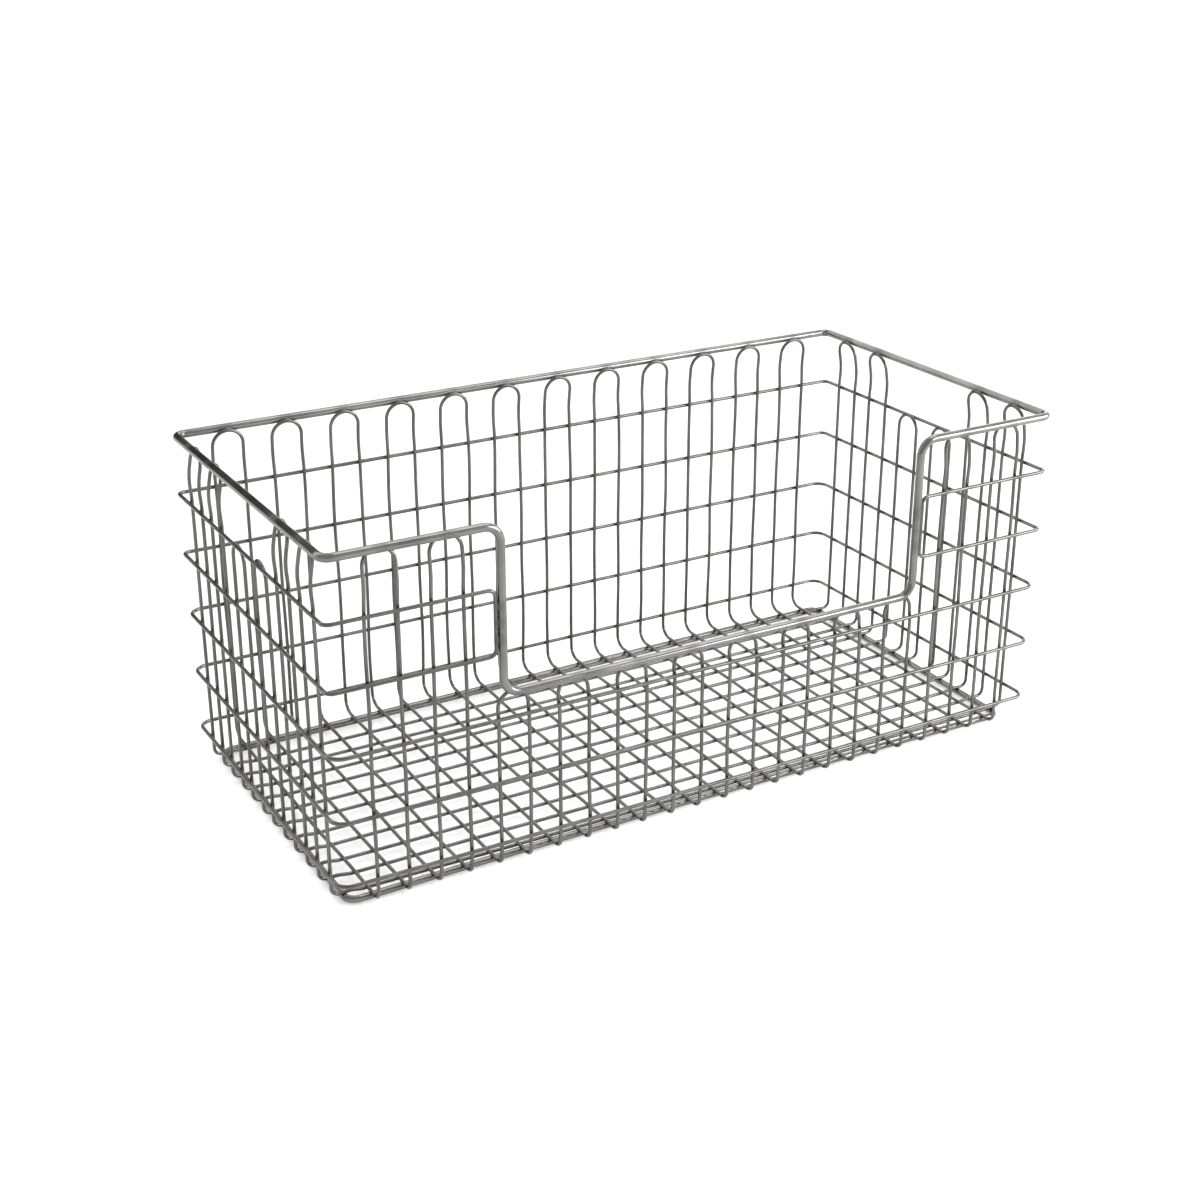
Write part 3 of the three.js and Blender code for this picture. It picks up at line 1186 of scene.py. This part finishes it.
@dataclass(frozen=True)
class WeldSet:
    """All welds of the basket, in groups that become one piece each.

    Attributes:
        plan: Sizes of the basket.
        base_weld: Half sizes of a weld on the base frame, as in WeldRow.
        hand_hold_weld: The same for a hand-hold loop's top on the highest ring.
        rim_weld: The same for a loop's top inside the rim.
        upright_weld: The same for the twin ring at an upright of the cut-out.
        upright_welds: Number of these welds at each upright.
    """

    plan: BasketPlan
    base_weld: Sizes = (0.9, 1.5, 1.5)
    hand_hold_weld: Sizes = (0.6, 3.6, 0.8)
    rim_weld: Sizes = (0.9, 4.2, 1.5)
    upright_weld: Sizes = (0.8, 5.0, 1.4)
    upright_welds: int = 3

    @staticmethod
    def cross(xs: np.ndarray, ys: np.ndarray, zs: np.ndarray) -> np.ndarray:
        """Every combination of the given places, as points.

        Args:
            xs: Places along X.
            ys: Places along Y.
            zs: Heights.

        Returns:
            Points, shape (n, 3).
        """
        grid = np.meshgrid(np.atleast_1d(xs), np.atleast_1d(ys), np.atleast_1d(zs), indexing="ij")
        return np.stack(grid, axis=-1).reshape(-1, 3)

    @staticmethod
    def both(middles: np.ndarray, width: float) -> np.ndarray:
        """Places of the two legs of each loop."""
        return np.concatenate([middles - width / 2, middles + width / 2])

    @staticmethod
    def pair(place: float) -> np.ndarray:
        """A place at both sides of the basket."""
        return np.array([-place, place])

    def floor_rows(self) -> list[WeldRow]:
        """Welds of the floor: wire on wire, and both on the base frame."""
        p = self.plan
        xs = self.both(p.cross_middles, p.cross_pitch)
        ys = self.both(p.long_middles, p.long_loop_width)
        grid_z = (p.cross_z + p.long_z) / 2
        seat_z = p.cross_z - p.thin.radius - p.weld_gap / 2
        crossings = p.dished(self.cross(xs, ys, grid_z))
        on_sides = p.bowed(self.cross(xs, self.pair(p.base_y), seat_z))
        on_ends = self.cross(self.pair(p.base_x), ys, seat_z)
        return [
            WeldRow(crossings, Way.UP, Way.ALONG),
            WeldRow(on_sides, Way.UP, Way.ALONG, self.base_weld),
            WeldRow(on_ends, Way.UP, Way.ACROSS, self.base_weld),
        ]

    def wall_rows(self) -> list[WeldRow]:
        """Welds of the walls: each leg on each ring that it passes."""
        p = self.plan
        heights = p.ring_heights
        y = (p.leg_y + p.half_width) / 2
        x = (p.leg_x + p.half_length) / 2
        short = p.ends_in_cutout(p.cross_middles)
        legs = self.both(p.cross_middles, p.cross_pitch)
        low_legs = self.both(p.cross_middles[short], p.cross_pitch)
        tall_legs = self.both(p.cross_middles[~short], p.cross_pitch)
        held = p.ends_at_hand_hold(p.long_middles)
        end_tall = self.both(p.long_middles[~held], p.long_loop_width)
        end_low = self.both(p.long_middles[held], p.long_loop_width)
        ends = self.pair(x)
        hand_holds = self.cross(ends, p.long_middles[held], heights[0])
        return [
            WeldRow(self.cross(legs, y, heights), Way.ACROSS, Way.ALONG),
            WeldRow(self.cross(tall_legs, -y, heights), Way.ACROSS, Way.ALONG),
            WeldRow(self.cross(low_legs, -y, heights[p.twin_turns :]), Way.ACROSS, Way.ALONG),
            WeldRow(self.cross(ends, end_tall, heights), Way.ALONG, Way.ACROSS),
            WeldRow(self.cross(ends, end_low, heights[1:]), Way.ALONG, Way.ACROSS),
            WeldRow(hand_holds, Way.ALONG, Way.ACROSS, self.hand_hold_weld),
        ]

    def rim_rows(self) -> list[WeldRow]:
        """Welds of the loops' round tops inside the rim, and of the twin ring at the uprights."""
        p = self.plan
        y = p.seat_y + p.thin.radius + p.weld_gap / 2
        x = p.seat_x + p.thin.radius + p.weld_gap / 2
        top = p.rim_z - p.top_drop / 2
        edge = p.cutout_z - p.top_drop / 2
        short = p.ends_in_cutout(p.cross_middles)
        tall_ends = p.long_middles[~p.ends_at_hand_hold(p.long_middles)]
        beside = p.cutout_x + p.rim.radius + p.weld_gap / 2
        upper, lower = p.ring_heights[: p.twin_turns]
        between = np.linspace(lower, upper, self.upright_welds + 2)[1:-1]
        sides = (
            self.cross(p.cross_middles, y, top),
            self.cross(p.cross_middles[~short], -y, top),
            self.cross(p.cross_middles[short], -y, edge),
        )
        ends = self.cross(self.pair(x), tall_ends, top)
        uprights = self.cross(self.pair(beside), -p.half_width, between)
        return [
            *(WeldRow(spots, Way.ACROSS, Way.ALONG, self.rim_weld) for spots in sides),
            WeldRow(ends, Way.ALONG, Way.ACROSS, self.rim_weld),
            WeldRow(uprights, Way.ALONG, Way.UP, self.upright_weld),
        ]

    def groups(self) -> dict[str, list[WeldRow]]:
        """Rows of welds by the name of the piece that they make."""
        return {
            "floor_welds": self.floor_rows(),
            "wall_welds": self.wall_rows(),
            "rim_welds": self.rim_rows(),
        }

    def places(self) -> np.ndarray:
        """Middles of all welds in millimetres."""
        return np.vstack([row.places for rows in self.groups().values() for row in rows])

    def make(self, finish: bpy.types.Material) -> None:
        """Builds one piece for each group of welds.

        Args:
            finish: Material of the welds.
        """
        for seed, (name, rows) in enumerate(self.groups().items()):
            chance = np.random.default_rng(seed)
            parts = [row.surface(chance) for row in rows]
            offsets = np.cumsum([0] + [len(vertices) for vertices, _ in parts])
            vertices = np.vstack([vertices for vertices, _ in parts])
            faces = np.vstack([triangles + start for (_, triangles), start in zip(parts, offsets)])
            full = np.ones(len(vertices))
            spots = WireSurface(vertices * MM, faces, vertices * MM, full * 0, full)
            spots.make(name, finish, Slot.GRID)


@dataclass(frozen=True)
class Basket:
    """The whole basket: its sub-assemblies, their finishes and the welds between them.

    Attributes:
        plan: Sizes that all sub-assemblies share.
        grid_steel: Finish of the thin wires.
        frame_steel: Finish of the rim and the base frame.
        weld_steel: Finish of the welds.
    """

    plan: BasketPlan = field(default_factory=BasketPlan)
    grid_steel: DrawnSteel = DrawnSteel(
        "grid_steel", (0.109, 0.107, 0.105, 1.0), (0.171, 0.168, 0.165, 1.0)
    )
    frame_steel: DrawnSteel = DrawnSteel(
        "frame_steel",
        (0.160, 0.157, 0.154, 1.0),
        (0.236, 0.232, 0.227, 1.0),
        smooth=0.10,
        rough=0.21,
    )
    weld_steel: WeldSteel = WeldSteel("weld_steel")

    def make(self) -> None:
        """Builds every wire and weld in place of the CAD nodes."""
        plan, legs, welds = self.plan, LegShape(self.plan), WeldSet(self.plan)
        heat = welds.places()
        fine, heavy = self.grid_steel.make(), self.frame_steel.make()
        for wire in BaseFrame(plan).wires() + Rim(plan).wires():
            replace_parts(wire.surface(heat).make(wire.name, heavy, Slot.FRAME), wire.node)
        loops = CrossGrid(plan, legs).wires() + LongGrid(plan, legs).wires()
        for wire in RingCage(plan).wires() + loops:
            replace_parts(wire.surface(heat).make(wire.name, fine, Slot.GRID), wire.node)
        welds.make(self.weld_steel.make())


@dataclass(frozen=True)
class Softbox:
    """Area lamp that shines on the middle of the basket.

    Attributes:
        name: Name of the lamp.
        place: Where it hangs, in metres.
        size: Its width and height in metres.
        power: Its power in watts.
    """

    name: str
    place: Point
    size: tuple[float, float]
    power: float

    def make(self, target: Vector) -> None:
        """Hangs the lamp so that it looks at the target.

        Args:
            target: Point in metres.
        """
        lamp = bpy.data.lights.new(self.name, "AREA")
        lamp.shape = "RECTANGLE"
        lamp.size, lamp.size_y = self.size
        lamp.energy = self.power
        hung = bpy.data.objects.new(self.name, lamp)
        hung.location = self.place
        hung.rotation_euler = (target - Vector(self.place)).to_track_quat("-Z", "Y").to_euler()
        hung.visible_camera = False
        bpy.context.scene.collection.objects.link(hung)


@dataclass(frozen=True)
class Studio:
    """White floor, soft light and the camera of the photograph.

    Attributes:
        floor_half: Half the floor's side in metres.
        floor_drop: How far the floor lies under the basket, in metres.
        floor_colour: Colour of the floor.
        painted_light_under_basket: Painted light that the floor adds where it is seen under the
            basket: brighter there, so the basket's shadow is brought back up to white.
        near_lift: The same beside the basket.
        far_lift: The same far away, where the lamps hardly reach.
        painted_shade_left: Painted shade: how much less light the floor adds at the left, standing
            in for the lamps' light falling off away from them.
        near_edge: Distances between which the first lift turns into the second, in metres.
        far_edge: Distances between which the second turns into the third, in metres.
        painted_shade_edge: Places along X between which that painted shade at the left ends, in
            metres.
        room: Brightness of the room.
        back_glow: How much brighter its back wall is.
        right_glow: How much brighter its right side is.
        back_screen: Share of its light that a dark screen low behind the basket takes away.
        back_edge: Y of the directions between which the back wall's glow begins.
        right_edge: X of the directions between which the right side's glow begins.
        screen_edge: Y of the directions between which the screen begins.
        screen_top: Z of the directions between which it ends.
        lens: Focal length in millimetres.
        sensor: Width of the camera's sensor in millimetres.
        sight: How far the camera sees, in metres.
        azimuth: Angle of the camera round the basket in radians.
        elevation: Angle of the camera above the horizon in radians.
        roll: Tilt of the camera in radians.
        place: Where the camera stands, in metres.
        lamps: Lamps of the studio.
        lamp_target: Point that the lamps shine on, in metres.
    """

    floor_half: float = 40.0
    floor_drop: float = 0.0003
    floor_colour: Colour = (0.80, 0.80, 0.80, 1.0)
    painted_light_under_basket: float = 0.44
    near_lift: float = 0.25
    far_lift: float = 0.47
    painted_shade_left: float = 0.15
    near_edge: Range = (0.26, 0.50)
    far_edge: Range = (0.50, 2.8)
    painted_shade_edge: Range = (-0.50, 0.20)
    room: float = 0.72
    back_glow: float = 1.2
    right_glow: float = 0.3
    back_screen: float = 0.95
    back_edge: Range = (0.30, 0.55)
    right_edge: Range = (0.15, 0.55)
    screen_edge: Range = (0.79, 0.865)
    screen_top: Range = (0.50, 0.62)
    lens: float = 56.157
    sensor: float = 36.0
    sight: float = 200.0
    azimuth: float = -0.522095
    elevation: float = 0.400357
    roll: float = -0.000036
    place: Point = (-0.666596, -1.130632, 0.670785)
    lamps: tuple[Softbox, ...] = (
        Softbox("softbox_right", (1.75, -1.28, 0.85), (2.0, 1.0), 50.0),
        Softbox("softbox_above", (0.75, 0.0, 1.9), (1.2, 1.0), 9.0),
    )
    lamp_target: Point = (0.0, 0.0, 0.12)

    def make_floor(self) -> None:
        """Lays a pale floor whose glow, which is painted light, makes it white to the camera and
        the metal.
        """
        half, low = self.floor_half, -self.floor_drop
        mesh = bpy.data.meshes.new("floor")
        square = [(-half, -half, low), (half, -half, low), (half, half, low), (-half, half, low)]
        mesh.from_pydata(square, [], [(0, 1, 2, 3)])
        material = bpy.data.materials.new("white_floor")
        bench = NodeBench(material)
        ray = bench.add("ShaderNodeLightPath").outputs
        seen = bench.sum(ray["Is Camera Ray"], ray["Is Glossy Ray"])
        seen = bench.sum(ray["Is Transmission Ray"], seen)
        place = bench.add("ShaderNodeTexCoord").outputs["Object"]
        length = bench.add("ShaderNodeVectorMath", operation="LENGTH", inputs={0: place})
        away = length.outputs["Value"]
        across = bench.add("ShaderNodeSeparateXYZ", inputs={0: place}).outputs["X"]
        # Painted light: the floor glows brightest under the basket, brightening the basket's shadow
        # there, and less beside it.
        lift = bench.ease(away, self.near_edge, self.painted_light_under_basket, self.near_lift)
        lift = bench.sum(bench.ease(away, self.far_edge, 0.0, self.far_lift - self.near_lift), lift)
        # Painted shade: the floor's glow is weaker at the left, standing in for the lamps' light
        # falling off there.
        lift = bench.sum(bench.ease(across, self.painted_shade_edge, -self.painted_shade_left, 0.0), lift)
        lift = bench.sum(seen, 0.0, lift)
        paint = bench.add("ShaderNodeBsdfDiffuse", inputs={"Color": self.floor_colour})
        glow = bench.add("ShaderNodeEmission", inputs={"Color": WHITE, "Strength": lift})
        both = bench.add("ShaderNodeAddShader", inputs={0: paint.outputs[0], 1: glow.outputs[0]})
        bench.add("ShaderNodeOutputMaterial", inputs={"Surface": both.outputs[0]})
        mesh.materials.append(material)
        floor = bpy.data.objects.new("floor", mesh)
        bpy.context.scene.collection.objects.link(floor)

    def make_room(self) -> None:
        """Surrounds the basket with a pale room, brighter at the back and at the right.

        A dark screen low behind the basket takes a share of the light away.
        """
        world = bpy.data.worlds.new("room")
        bpy.context.scene.world = world
        bench = NodeBench(world)
        way = bench.add("ShaderNodeTexCoord").outputs["Generated"]
        ways = bench.add("ShaderNodeSeparateXYZ", inputs={0: way}).outputs
        level = bench.ease(ways["Y"], self.back_edge, self.room, self.room + self.back_glow)
        level = bench.sum(bench.ease(ways["X"], self.right_edge, 0.0, self.right_glow), level)
        behind = bench.ease(ways["Y"], self.screen_edge, 0.0, self.back_screen)
        under = bench.ease(ways["Z"], self.screen_top, -1.0, 0.0)
        level = bench.sum(level, 0.0, bench.sum(behind, 1.0, under))
        light = bench.add("ShaderNodeBackground", inputs={"Color": WHITE, "Strength": level})
        bench.add("ShaderNodeOutputWorld", inputs={"Surface": light.outputs[0]})

    def make_camera(self) -> None:
        """Stands the camera where the photograph was taken from.

        Its back is (sin a cos e, -cos a cos e, sin e) for the azimuth a and the elevation e, its
        right side is (cos a, sin a, 0), and both of the other sides are turned by the roll.
        """
        a, e, r = self.azimuth, self.elevation, self.roll
        back = Vector((math.sin(a) * math.cos(e), -math.cos(a) * math.cos(e), math.sin(e)))
        level = Vector((math.cos(a), math.sin(a), 0))
        upright = back.cross(level)
        right = math.cos(r) * level + math.sin(r) * upright
        up = math.cos(r) * upright - math.sin(r) * level
        turn = Matrix((right, up, back)).transposed()
        camera = bpy.data.cameras.new("camera")
        camera.lens = self.lens
        camera.sensor_width = self.sensor
        camera.clip_end = self.sight
        stand = bpy.data.objects.new("camera", camera)
        stand.matrix_world = Matrix.Translation(self.place) @ turn.to_4x4()
        bpy.context.scene.collection.objects.link(stand)
        bpy.context.scene.camera = stand

    def make(self) -> None:
        """Sets up the floor, the room, the lamps, the camera and the plain view of colours."""
        self.make_camera()
        self.make_floor()
        self.make_room()
        for lamp in self.lamps:
            lamp.make(Vector(self.lamp_target))
        bpy.context.scene.view_settings.view_transform = "Standard"


def main() -> None:
    """Builds the basket and its studio, and reports each piece."""
    logging.basicConfig(level=logging.INFO, format="%(name)s: %(message)s")
    Studio().make()
    Basket().make()


if __name__ == "__main__":
    main()
